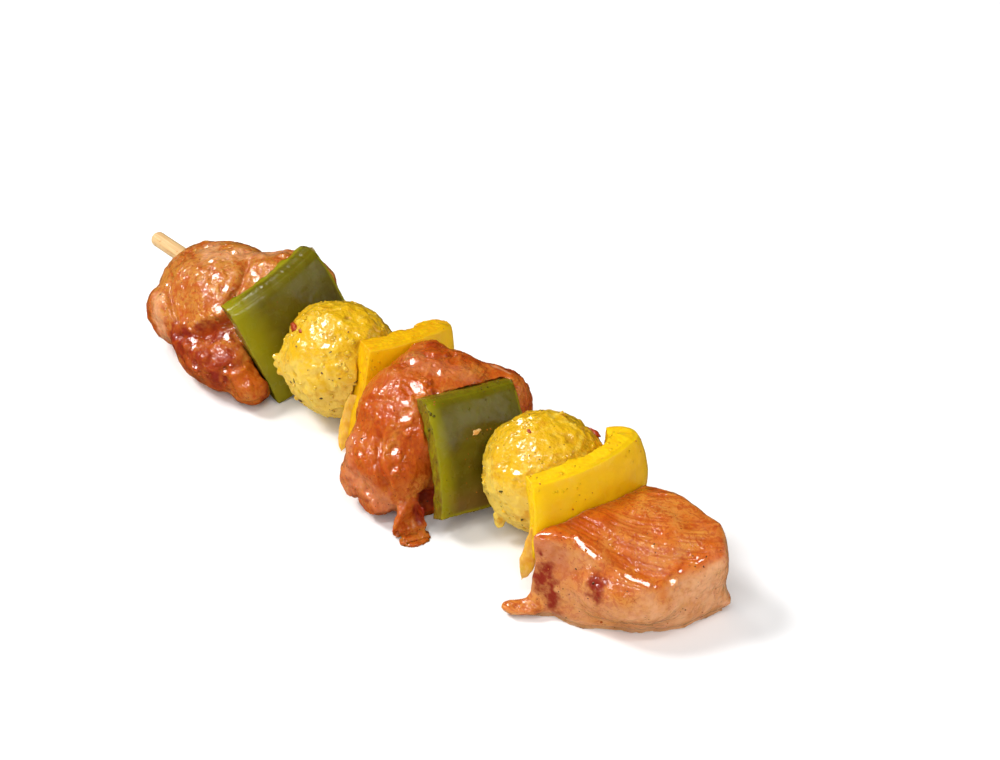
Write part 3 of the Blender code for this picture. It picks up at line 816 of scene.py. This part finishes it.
def make_chicken_3(material):
    """The last chunk: a cut top with curved grain, a crest, and a smooth front below it."""
    piece = fine_copy("chicken_3", "chicken_3_flesh", CHUNK_VOXEL, 26)
    s = Sculpt(piece)
    crest = [(158.5, -15.5, 21.5), (163.5, -11.8, 21.2), (168.5, -10, 20), (174.6, -8.6, 17.3),
             (180.5, -7, 15.4), (184.3, -3, 14.9), (185.8, 2.5, 16.5), (188, 9.9, 19.1)]
    s.line(crest, 2.2, 0.9)
    s.line([(p[0] - 0.6, p[1] + 3.4, p[2]) for p in crest], 2.2, -0.7)
    s.line([(p[0] + 0.8, p[1] - 3.0, p[2] - 3.5) for p in crest[2:6]], 3.0, 0.5)
    s.settle()
    up = smoothstep(0.45, 0.8, s.facing[:, 2])
    behind = smoothstep(0.4, 1.6, follow(s.points, crest)[0])
    pivot = np.array([158.0, 32.0])
    radius = np.linalg.norm(s.points[:, :2] - pivot, axis=1)
    bearing = np.arctan2(s.points[:, 1] - pivot[1], s.points[:, 0] - pivot[0])
    across = np.stack([radius, bearing * 1.5, s.points[:, 2] * 0.3], 1)
    patchy = smoothstep(-0.9, 0.1, noise(s.points, 7, 30))
    s.grain(warped(across, 6, 0.5, 60), 17, 0.17, up * behind * patchy, 1.45)
    side = smoothstep(186.5, 188.5, s.points[:, 0]) * (1 - up)
    upright = np.stack([s.points[:, 0], s.points[:, 1], s.points[:, 2] * 0.12], 1)
    s.grain(upright, 19, 0.12, 0.7 * side, 1.4)
    s.net(s.points * np.array([1, 1, 0.6]), 3.6, 0.06, 95, (1 - up) * smoothstep(0, 0.5, noise(s.points, 8, 29)), 0.35)
    s.height += 0.3 * fractal(s.points, 7.5, 2, 10) + 0.08 * fractal(s.points, 2.4, 2, 20)
    s.wrinkle(1.8, 0.05, 70, 0.35 + 0.65 * smoothstep(0.1, 0.6, noise(s.points, 7, 24)))
    s.stroke("blood_and_shade", [(159.5, -17, 18.5), (160.5, -16, 16.5)], 1.1, 0.9)
    s.stroke("blood_and_shade", [(161.5, -16.5, 12.5), (162.5, -16.5, 9.0), (164.5, -17.5, 5.0)], 4.2, 0.95)
    s.stroke("blood_and_shade", [(174.2, -12.6, 15.4), (175.0, -12.8, 12.6)], 3.0)
    s.stroke("vein_and_shade", [(160.5, -15.8, 18), (164, -15, 16.5), (166.5, -14.8, 14.5)], 3.6, 0.7)
    s.stroke("vein_and_shade", [(158, -12, 22), (163, -8, 22), (168, -2, 22)], 3.0, 0.45)
    s.line([(159.5, -17.2, 5), (158.6, -19.5, 4), (157.9, -22.5, 3)], 0.6, -0.6)
    s.stroke("vein_and_shade", [(162, -14, 20.8), (167, -11, 20.6), (172, -9.5, 18.5)], 2.0, 0.2)
    top = smoothstep(-0.2, 1.0, s.facing[:, 2] + 0.35 * noise(s.points, 5, 27))
    touching = gap_to(s.points, "yellow_pepper_2")
    orange = 0.45 + 0.55 * smoothstep(9, 1.5, touching) + 0.4 * np.exp(-((follow(s.points, crest)[0] - 1.5) / 2.0) ** 2)
    s.masks["tone"] = 0.9 * top * np.minimum(orange, 1)
    # Paler and pinker on the sides, more so to the right, and at the foot: partly paler flesh, partly painted sheen
    right = smoothstep(176, 189, s.points[:, 0])
    s.masks["pale_and_sheen"] = (0.45 + 0.5 * right) * (1 - top) + 0.45 * smoothstep(3.0, 0.6, s.points[:, 2])
    s.masks["sleek"] = np.exp(-(follow(s.points, crest)[0] / 2.4) ** 2)
    s.masks["pale_and_sheen"] = np.maximum(s.masks["pale_and_sheen"], 0.9 * smoothstep(1.1, 0.5, touching))
    s.shine([((183.8, -4.4, 15), 0.9), ((185.2, -0.3, 15), 1.6), ((185.2, 1.8, 16.6), 1.1),
             ((174.5, -8.8, 17.4), 0.5)], TOP_LIGHT)
    s.gleam([(165.0, -10.8, 20.9), (168.5, -10.4, 19.7), (172.0, -9.6, 18.5)], 1.0, TOP_LIGHT)
    s.gleam([(177.5, -7.8, 16.4), (180.5, -6.7, 15.8), (183.2, -5.0, 15.0)], 0.9, TOP_LIGHT)
    s.finish()
    tuck_under(s.mesh, 3.5, 1.6)
    return finish_piece(piece, material, "marinated_chicken", "chicken_3")


# ---------------------------------------------------------------- meatballs

def make_ball(node, material, seed, lobes, shine):
    piece = fine_copy(node, node + "_mince", BALL_VOXEL, 8, lobes)
    mesh = piece.data
    points = coordinates(mesh)
    smeared = warped(points, 6, 1.6, seed)
    folds = 1 - np.abs(fractal(smeared, 6.5, 2, seed + 3, 0.6)) * 1.6
    nearest, _ = cells(warped(points, 2.5, 0.9, seed + 6), 2.6, seed + 7)
    rough = fractal(warped(points, 1.5, 0.5, seed + 8), 1.4, 3, seed + 9, 0.6)
    pits = smoothstep(0.5, 0.9, noise(points, 2.6, seed + 12))
    displace(mesh, 0.45 * folds - 0.28 * nearest + 0.15 * rough - 0.6 * pits - 0.1)
    height, sleek = wet_patches(coordinates(mesh), normals(mesh), shine, KEY_LIGHT)
    displace(mesh, height)
    store(mesh, pit=pits, sleek=0.6 * sleek)
    tuck_under(mesh, 2.0, 0.6)
    return finish_piece(piece, material, "curry_meatball", node)


# ---------------------------------------------------------------- peppers

def pepper_heading(wall, along):
    """Direction of a pepper's wall, as its turn away from +Y, at distances along it."""
    half = wall["width"] / 2
    bow = np.arctan(4 * wall["bow_across"] * np.minimum(along, half) / half / wall["width"])
    return -bow - np.maximum(0.0, along - half) / wall["hook_radius"]


def pepper_surface(wall, along, v, depth):
    """Points of a pepper's wall: distance along it, v up from -1 to 1, depth under the skin 0 to 1."""
    half = wall["width"] / 2
    reach = max(half, along.max())
    fine = np.linspace(-half, reach, 1200)
    turn = pepper_heading(wall, fine)
    step = fine[1] - fine[0]
    x_path = np.cumsum(np.sin(turn)) * step
    y_path = np.cumsum(np.cos(turn)) * step
    middle = np.argmin(np.abs(fine))
    x = np.interp(along, fine, x_path - x_path[middle])
    y = np.interp(along, fine, y_path - y_path[middle])
    turn = pepper_heading(wall, along)
    u = np.clip(along / half, -1, 1)
    belly = 1 + wall["belly"] * np.cos(1.5 * u) * np.cos(1.5 * v)
    belly += wall["plump"] * smoothstep(half - 5, half + 1, along)
    inward = depth * wall["thickness"] * belly - wall["bow_up"] * (1 - v * v)
    hooked = np.maximum(0.0, along - half) / wall["hook_radius"]
    slant = np.minimum(0.0, u) * half * wall["slant"] * v
    local = np.stack([wall["bow_across"] + x - np.cos(turn) * inward, y + np.sin(turn) * inward + slant,
                      v * wall["height"] / 2 + wall["rise"] * hooked * (1 + v) / 2], 1)
    rotation = np.array(Euler([math.radians(a) for a in wall["turn"]]).to_matrix())
    return local @ rotation.T + np.array(wall["centre"])


def make_pepper(node, material, slot, seed, wall, glow):
    """A fine pepper wall with a skin, cut edges and a ribbed inner side."""
    half = wall["width"] / 2
    length = 2 * half + math.radians(wall["hook"]) * wall["hook_radius"]
    columns = round(length / 0.32)
    rows = round(wall["height"] / 0.32)
    layers = 10
    grid = {}
    table = []

    def corner(column, row, layer):
        """The number of a grid point on the closed surface, made when first asked for."""
        key = (column, row, layer)
        if key not in grid:
            grid[key] = len(table)
            table.append(key)
        return grid[key]

    faces = []
    for layer in (0, layers):
        for row in range(rows):
            for column in range(columns):
                quad = [(column, row), (column + 1, row), (column + 1, row + 1), (column, row + 1)]
                quad = [corner(c, r, layer) for c, r in quad]
                faces.append(quad if layer == 0 else quad[::-1])
    rim = [(c, 0) for c in range(columns)] + [(columns, r) for r in range(rows)]
    rim += [(c, rows) for c in range(columns, 0, -1)] + [(0, r) for r in range(rows, 0, -1)]
    for (c0, r0), (c1, r1) in zip(rim, rim[1:] + rim[:1]):
        for layer in range(layers):
            faces.append([corner(c1, r1, layer), corner(c0, r0, layer),
                          corner(c0, r0, layer + 1), corner(c1, r1, layer + 1)])
    spots = np.array(table, float)
    along = -half + length * spots[:, 0] / columns
    v = 2 * spots[:, 1] / rows - 1
    depth = spots[:, 2] / layers
    roll = wall["roll"]
    on_skin = np.clip((1 - v) * wall["height"] / 2 / roll, 0, 1)
    on_cut = np.clip(depth * wall["thickness"] / roll, 0, 1)
    bend = np.radians(np.where(depth == 0, 45 * (1 - on_skin), 45 + 45 * on_cut))
    rounded = np.where(depth == 0, on_skin < 1, (v == 1) & (on_cut < 1))
    to_edge = np.minimum(np.minimum(along + half, length - half - along), (1 - np.abs(v)) * wall["height"] / 2)
    top = v == 1
    skin = depth == 0
    inside = depth == 1
    v = np.where(rounded, 1 - roll * (1 - np.sin(bend)) / (wall["height"] / 2), v)
    sunk = np.where(rounded, roll * (1 - np.cos(bend)) / wall["thickness"], depth)
    swell = 0.35 * (1 - (2 * depth - 1) ** 4)
    edge_u = (spots[:, 0] == columns) * 1.0 - (spots[:, 0] == 0)
    points = pepper_surface(wall, along + edge_u * swell, v, sunk)
    mesh = mesh_of(node + "_wall", points, faces)
    cut = 1 - skin
    wave = 0.22 * fractal(points, 9, 2, seed) + 0.05 * noise(points, 2.2, seed + 2)
    wave -= 0.25 * skin * np.exp(-to_edge / 0.5) * (v < 0.99)
    fibres = fractal(points * np.array([1, 1, 0.3]), 1.0, 2, seed + 4, 0.6)
    wave += 0.10 * fibres * cut + inside * 0.5 * fractal(points * np.array([1, 1, 0.4]), 3.5, 2, seed + 6)
    displace(mesh, wave)
    # Painted glow: light through the wall near the left end, bright rims along the skin's edges and the rolled cut, and
    # a little more towards the top
    near_left = smoothstep(glow, 0, along + half)
    rim = smoothstep(1.2, 0.3, to_edge) * skin * (1 - wall["rolled"] * (v > 0.8))
    rolled = wall["rolled"] * top
    edge = rolled * smoothstep(0.55, 0.85, depth)
    store(mesh, cut=cut * (1 - rolled), glow=np.maximum.reduce([near_left, rim, edge, 0.22 * smoothstep(0, 0.9, v)]),
          low=smoothstep(-0.35, -0.85, v + 0.15 * noise(points, 5, seed + 9)))
    piece = link(node + "_wall", mesh)
    return finish_piece(piece, material, slot, node)


GREEN_1 = dict(centre=(56.8, 0.4, 15.6), turn=(13, -20, -3), width=28.5, height=28.5, thickness=5.4,
               bow_across=1.8, bow_up=1.6, belly=0.12, slant=0, hook=0, hook_radius=1e9, rise=0, roll=3.2, rolled=1, plump=0)
GREEN_2 = dict(centre=(123.2, -0.1, 15.8), turn=(-14, -28, 1), width=26.0, height=28.0, thickness=4.2,
               bow_across=1.0, bow_up=2.4, belly=0.12, slant=0, hook=0, hook_radius=1e9, rise=0, roll=2.6, rolled=0.6, plump=0)
YELLOW_1 = dict(centre=(90.8, 5.1, 13.7), turn=(-9, -3, -4), width=25.2, height=25.0, thickness=5.0,
                bow_across=1.2, bow_up=1.4, belly=0.12, slant=-0.14, hook=180, hook_radius=5.2, rise=-1.1, roll=0.7, rolled=0, plump=0)
YELLOW_2 = dict(centre=(156.1, 0.8, 19.1), turn=(-3, -3, -5), width=29.4, height=22.0, thickness=3.8,
                bow_across=2.2, bow_up=3.0, belly=0.3, slant=0, hook=128, hook_radius=6.0, rise=-1.2, roll=0.7, rolled=0, plump=0.5)


def make_strand(name, material, slot, seed, route, width, thickness):
    """A ragged ribbon of flesh along a route, thinning towards its end."""
    middle = smooth_curve(route, 60)
    heading = np.gradient(middle, axis=0)
    heading /= np.linalg.norm(heading, axis=1, keepdims=True)
    wide = np.cross(heading, (0.58, -0.55, 0.60))
    wide /= np.linalg.norm(wide, axis=1, keepdims=True)
    thick = np.cross(heading, wide)
    sides = 16
    place = np.linspace(0, 1, len(middle))
    taper = np.maximum(np.sin(math.pi * (0.12 + 0.88 * place)) ** 0.7, 0.08)
    points, faces = [], []
    for angle in np.arange(sides) * 2 * math.pi / sides:
        across = wide * math.cos(angle) * width / 2 + thick * math.sin(angle) * thickness / 2
        points.append(middle + across * taper[:, None])
    for ring in range(len(middle) - 1):
        for side in range(sides):
            near, far = side * len(middle) + ring, (side + 1) % sides * len(middle) + ring
            faces.append((near, near + 1, far + 1, far))
    for ring in (0, len(middle) - 1):
        faces.append([side * len(middle) + ring for side in range(sides)])
    mesh = mesh_of(name, np.vstack(points), faces)
    points = coordinates(mesh)
    displace(mesh, 0.40 * fractal(points * (1, 1, 0.5), 2.4, 2, seed))
    store(mesh, cut=np.ones(len(points)))
    return finish_piece(link(name, mesh), material, slot)


# ---------------------------------------------------------------- flecks

def scatter(name, material, slot, pieces, count, size, width, height, seed, reach=None):
    """Small flecks lying in patches on pieces, as one mesh.

    Size is half a fleck's length in millimetres, and width and height are its other measures next
    to that. Reach, if given, tells from places whether flecks lie there.
    """
    random = np.random.default_rng(seed)
    triangles = []
    for piece in pieces:
        mesh = piece.data
        mesh.calc_loop_triangles()
        index = np.empty(len(mesh.loop_triangles) * 3, np.int32)
        mesh.loop_triangles.foreach_get("vertices", index)
        triangles.append(coordinates(mesh)[index.reshape(-1, 3)])
    triangles = np.vstack(triangles)
    cross = np.cross(triangles[:, 1] - triangles[:, 0], triangles[:, 2] - triangles[:, 0])
    area = np.linalg.norm(cross, axis=1)
    middle = triangles.mean(1)
    chance = area * smoothstep(-0.4, 0.5, noise(middle, 9, seed)) * (middle[:, 2] > 1)
    if reach is not None:
        chance = chance * reach(middle)
    chosen = random.choice(len(area), count, p=chance / chance.sum())
    up = cross[chosen] / area[chosen, None]
    along = np.cross(up, random.normal(size=(count, 3)))
    along /= np.linalg.norm(along, axis=1, keepdims=True)
    lengths = size * random.lognormal(0, 0.35, count)
    bm = bmesh.new()
    bmesh.ops.create_icosphere(bm, subdivisions=1, radius=1.0)
    ball = np.array([v.co for v in bm.verts])
    sides = np.array([[v.index for v in f.verts] for f in bm.faces])
    bm.free()
    shapes = ball * random.uniform(0.7, 1.2, (count, len(ball), 1)) * (1, width, height)
    frames = np.stack([along, np.cross(up, along), up], 1)
    points = middle[chosen, None] + np.einsum("nvi,nij->nvj", shapes * lengths[:, None, None], frames)
    faces = (sides + len(ball) * np.arange(count)[:, None, None]).reshape(-1, 3)
    mesh = mesh_of(name, points.reshape(-1, 3), faces.tolist())
    return finish_piece(link(name, mesh), material, slot)


def place_bits(name, material, slot, piece, bits, seed):
    """Lumps pressed into a piece nearest to the given places, each with its radius in millimetres."""
    tree = BVHTree.FromPolygons([v.co for v in piece.data.vertices],
                                [tuple(p.vertices) for p in piece.data.polygons])
    bm = bmesh.new()
    bmesh.ops.create_icosphere(bm, subdivisions=3, radius=1.0)
    ball = np.array([v.co for v in bm.verts])
    sides = np.array([[v.index for v in f.verts] for f in bm.faces])
    bm.free()
    points, faces = [], []
    for number, (place, radius) in enumerate(bits):
        spot, normal = tree.find_nearest(Vector(np.array(place) * MM + ORIGIN))[:2]
        frame_of_bit = np.array(normal.to_track_quat("Z", "Y").to_matrix()).T
        knobs = 1 + 0.45 * fractal(ball + 7 * number, 0.9, 2, seed)
        shape = ball * knobs[:, None] * (1.5, 0.8, 0.6) * radius
        points.append(shape @ frame_of_bit + (np.array(spot) - ORIGIN) / MM)
        faces += (sides + len(ball) * number).tolist()
    return finish_piece(link(name, mesh_of(name, np.vstack(points), faces)), material, slot)


def fleck_material(name, colour, other, roughness):
    s = Shade(name)
    s.set("Base Color", s.mix(s.between(s.noise(1.0, 2), 0.4, 0.6), colour, other))
    s.set("Roughness", roughness)
    s.set("Specular IOR Level", 0.3)
    s.set("Coat Weight", 0.5)
    s.set("Coat Roughness", 0.15)
    return s.material


# ---------------------------------------------------------------- stick

def make_stick(material):
    """The bamboo stick, with a rounded bare end and a tapered tip inside the last chunk."""
    sides = 48
    tip = 14.0
    rings = [(STICK_RADIUS * 0.7 * (1 - math.cos(a)), STICK_RADIUS * (0.3 + 0.7 * math.sin(a)))
             for a in np.linspace(0, math.pi / 2, 8)]
    rings += [(x, STICK_RADIUS) for x in np.linspace(rings[-1][0] + 0.6, STICK_LENGTH - tip, 200)]
    rings += [(STICK_LENGTH - tip * (1 - t), STICK_RADIUS * (1 - 0.8 * t)) for t in (0.25, 0.5, 0.75, 1.0)]
    angles = np.arange(sides) * 2 * math.pi / sides
    points = [(x, r * math.cos(a), STICK_HEIGHT + r * math.sin(a)) for x, r in rings for a in angles]
    faces = []
    for ring in range(len(rings) - 1):
        for side in range(sides):
            near, far = ring * sides, (ring + 1) * sides
            after = (side + 1) % sides
            faces.append((near + side, far + side, far + after, near + after))
    faces.append(tuple(range(sides)))
    faces.append(tuple(reversed(range((len(rings) - 1) * sides, len(rings) * sides))))
    mesh = mesh_of("stick_bamboo", points, faces)
    points = coordinates(mesh)
    displace(mesh, 0.05 * fractal(points * np.array([0.06, 1, 1]), 0.7, 2, 90))
    return finish_piece(link("stick_bamboo", mesh), material, "bamboo", "stick")


# ---------------------------------------------------------------- stage

def make_floor():
    bpy.ops.mesh.primitive_plane_add(size=6.0, location=(0, 0, -0.0001))
    floor = bpy.context.object
    floor.name = "floor"
    s = Shade("floor_white")
    s.set("Base Color", (0.93, 0.93, 0.93, 1.0))
    s.set("Roughness", 0.8)
    s.set("Specular IOR Level", 0.1)
    floor.data.materials.append(s.material)
    floor.visible_glossy = False


def direction(azimuth, elevation):
    """Unit vector towards a viewer at that azimuth and elevation."""
    a, e = math.radians(azimuth), math.radians(elevation)
    return Vector((math.sin(a) * math.cos(e), -math.cos(a) * math.cos(e), math.sin(e)))


def add_softbox(name, around, elevation, size, share, gloss=True):
    """A rectangular softbox at an angle round from the camera.

    Share is how much of full white it lends to a white card that faces it.
    """
    distance = LIGHT_DISTANCE
    data = bpy.data.lights.new(name, "AREA")
    data.shape = "RECTANGLE"
    data.size, data.size_y = size
    data.energy = share * math.pi ** 2 * distance ** 2
    light = bpy.data.objects.new(name, data)
    bpy.context.scene.collection.objects.link(light)
    towards = direction(CAMERA_AZIMUTH + around, elevation)
    light.location = towards * distance
    light.rotation_euler = towards.to_track_quat("Z", "Y").to_euler()
    light.visible_glossy = gloss


def make_world(above, horizon, below):
    """Soft surrounding light: three levels of grey from below to above."""
    world = bpy.data.worlds.new("studio")
    world.use_nodes = True
    tree = world.node_tree
    ramp = tree.nodes.new("ShaderNodeValToRGB")
    split = tree.nodes.new("ShaderNodeSeparateXYZ")
    level = tree.nodes.new("ShaderNodeMapRange")
    tree.links.new(tree.nodes.new("ShaderNodeTexCoord").outputs["Generated"], split.inputs[0])
    tree.links.new(split.outputs["Z"], level.inputs["Value"])
    level.inputs["From Min"].default_value = -1.0
    tree.links.new(level.outputs["Result"], ramp.inputs["Fac"])
    stops = ramp.color_ramp.elements
    stops[0].position, stops[0].color = 0.35, (below,) * 3 + (1,)
    stops[1].position, stops[1].color = 0.8, (above,) * 3 + (1,)
    middle = stops.new(0.5)
    middle.color = (horizon,) * 3 + (1,)
    tree.links.new(ramp.outputs["Color"], tree.nodes["Background"].inputs["Color"])
    bpy.context.scene.world = world
    world.cycles_visibility.glossy = False


def make_stage():
    make_floor()
    make_world(0.22, 0.22, 0.22)
    add_softbox("key", *KEY_LIGHT, (0.34, 0.34), 0.70)
    add_softbox("spark_front", -46, 62, (0.20, 0.20), 0.11)
    add_softbox("spark_top", *TOP_LIGHT, (0.20, 0.14), 0.15)
    add_softbox("spark_back", -145, 46, (0.18, 0.14), 0.10)
    add_softbox("spark_low", -57, 20, (0.10, 0.18), 0.06)
    add_softbox("back_panel", 80, 22, (0.8, 0.5), 0.10)
    add_softbox("front_fill", -15, 40, (1.0, 0.9), 0.34, gloss=False)
    add_softbox("right_fill", 55, 30, (0.9, 0.9), 0.22, gloss=False)
    data = bpy.data.cameras.new("camera")
    data.lens = CAMERA_LENS
    data.sensor_width = 36.0
    camera = bpy.data.objects.new("camera", data)
    bpy.context.scene.collection.objects.link(camera)
    back = direction(CAMERA_AZIMUTH, CAMERA_ELEVATION)
    camera.location = Vector(CAMERA_AIM) + back * CAMERA_DISTANCE
    camera.rotation_euler = back.to_track_quat("Z", "Y").to_euler()
    bpy.context.scene.camera = camera
    bpy.context.scene.view_settings.view_transform = "Standard"


# ---------------------------------------------------------------- the skewer

make_stage()
make_stick(bamboo_material())
chicken_1 = make_chicken_1(chicken_material("chicken_tan", (0.56, 0.220, 0.034), (0.50, 0.105, 0.005),
                                            0.48, 0.85, 0.35))
chicken_2 = make_chicken_2(chicken_material("chicken_red", (0.58, 0.185, 0.022), (0.50, 0.088, 0.003),
                                            0.40, 0.80, 0.15))
chicken_3 = make_chicken_3(chicken_material("chicken_orange", (0.63, 0.240, 0.042), (0.58, 0.115, 0.004),
                                            0.50, 1.00, 0.3))

curry = curry_material()
ball_1 = make_ball("curry_ball_1", curry, 5, [((65.0, -10.2, 14.8), (2.4, 1.8, 1.6)),
                                              ((63.4, -11.3, 15.6), (0.9, 0.9, 0.8)),
                                              ((63.6, -11.4, 13.6), (1.0, 0.8, 0.8)),
                                              ((65.3, -11.6, 12.4), (0.8, 0.8, 1.1))],
                   [((74.3, -4.7, 28.2), 1.3), ((78.8, -7.9, 25.3), 1.5), ((77, -2.1, 28.5), 0.8),
                    ((71.2, -9.9, 24.1), 0.9)])
ball_2 = make_ball("curry_ball_2", curry, 15, [((136.5, -5.9, 6.4), (1.3, 1.3, 2.9))],
                   [((141.8, -5.5, 22.6), 1.7), ((133.6, 3.2, 27.5), 1.6), ((135.1, 4.9, 28.7), 1.3),
                    ((135.8, -1.4, 26.1), 1.0)])

green = pepper_material("green_pepper_wall", (0.100, 0.080, 0.001), (0.27, 0.235, 0.001),
                        (0.078, 0.052, 0.001), (0.145, 0.082, 0.012), (0.17, 0.12, 0.006),
                        (0.13, 0.055, 0.006), (0.35, 0.8))
# One yellow pepper material in two copies, their colours shifted to paint in light and shade: the first piece's skin
# lighter and its cut flesh darker
golden = pepper_material("first_yellow_wall_light_matched", (0.87, 0.51, 0.001), (0.84, 0.48, 0.001),
                         (0.85, 0.48, 0.001), (0.83, 0.46, 0.001), (0.70, 0.37, 0.002),
                         (0.66, 0.29, 0.001), (0.15, 0.5))
yellow = pepper_material("yellow_pepper_wall", (0.83, 0.46, 0.001), (0.88, 0.55, 0.001),
                         (0.78, 0.40, 0.001), (0.79, 0.40, 0.001), (0.88, 0.55, 0.006),
                         (0.80, 0.42, 0.002), (0.15, 0.55))
green_1 = make_pepper("green_pepper_1", green, "green_pepper", 1, GREEN_1, 11)
green_2 = make_pepper("green_pepper_2", green, "green_pepper", 2, GREEN_2, 5)
yellow_1 = make_pepper("yellow_pepper_1", golden, "yellow_pepper", 3, YELLOW_1, 4)
yellow_2 = make_pepper("yellow_pepper_2", yellow, "yellow_pepper", 4, YELLOW_2, 4)

fibre = pepper_material("yellow_pepper_fibre", (0.84, 0.50, 0.03), (0.84, 0.50, 0.03),
                        (0.80, 0.44, 0.02), (0.76, 0.38, 0.02), (0.88, 0.56, 0.12),
                        (0.74, 0.30, 0.02), (0.3, 0.7))
make_strand("yellow_pepper_1_strand", fibre, "yellow_pepper", 31,
            [(87.4, -7.0, 15), (86.9, -8.3, 9), (86.9, -10.0, 4.5), (87.6, -11.9, 0.9)], 4.0, 1.4)
make_strand("yellow_pepper_2_strand", fibre, "yellow_pepper", 32,
            [(156.4, -13.7, 20), (155.5, -14.1, 14), (154.6, -14.4, 8.5), (153.3, -14.8, 3.9)], 3.8, 1.3)

spice = fleck_material("spice", (0.05, 0.018, 0.005), (0.13, 0.035, 0.006), 0.6)
paprika = fleck_material("paprika", (0.40, 0.055, 0.003), (0.55, 0.14, 0.005), 0.5)
herb = fleck_material("herb", (0.07, 0.055, 0.006), (0.12, 0.075, 0.01), 0.5)
scatter("chicken_spice_flecks", spice, "marinated_chicken", [chicken_1, chicken_2, chicken_3],
        420, 0.16, 0.7, 0.4, 201)
scatter("chicken_paprika_flecks", paprika, "marinated_chicken", [chicken_1, chicken_2, chicken_3],
        320, 0.22, 0.7, 0.4, 202)
scatter("ball_spice_flecks", spice, "curry_meatball", [ball_1, ball_2], 100, 0.20, 0.7, 0.4, 203)
scatter("ball_herb_flecks", herb, "curry_meatball", [ball_1, ball_2], 44, 0.55, 0.35, 0.2, 204)
scatter("ball_crumbs", curry, "curry_meatball", [ball_1, ball_2], 420, 0.52, 0.8, 0.7, 205)
scatter("pepper_spice_flecks", paprika, "yellow_pepper", [yellow_1, yellow_2, green_2],
        170, 0.20, 0.7, 0.3, 206)
garlic = fleck_material("garlic", (0.80, 0.50, 0.18), (0.72, 0.34, 0.08), 0.4)
red_bit = fleck_material("red_pepper_bit", (0.42, 0.055, 0.008), (0.34, 0.030, 0.006), 0.4)
place_bits("garlic_bits", garlic, "green_pepper", green_2, [((123.8, -1.0, 21.4), 0.75)], 301)
place_bits("ball_1_red_bits", red_bit, "curry_meatball", ball_1,
           [((66.3, -5.6, 22), 1.1), ((69.6, -8.2, 25), 0.5)], 302)
place_bits("ball_2_red_bits", red_bit, "curry_meatball", ball_2,
           [((143.2, 16.2, 22), 1.3), ((138, 2, 27), 0.5)], 303)
place_bits("ball_1_pepper_bits", spice, "curry_meatball", ball_1,
           [((71.4, -11.1, 22.9), 0.22), ((80.3, -11.2, 19.8), 0.25), ((84.4, -8.8, 19.3), 0.22),
            ((81.2, -12.1, 13.3), 0.3), ((74, -13, 9), 0.4)], 304)
scatter("green_pepper_drops", green, "green_pepper", [green_2], 160, 0.24, 0.9, 0.35, 207)
scatter("yellow_pepper_drops", yellow, "yellow_pepper", [yellow_1, yellow_2], 160, 0.35, 0.9, 0.3, 208)
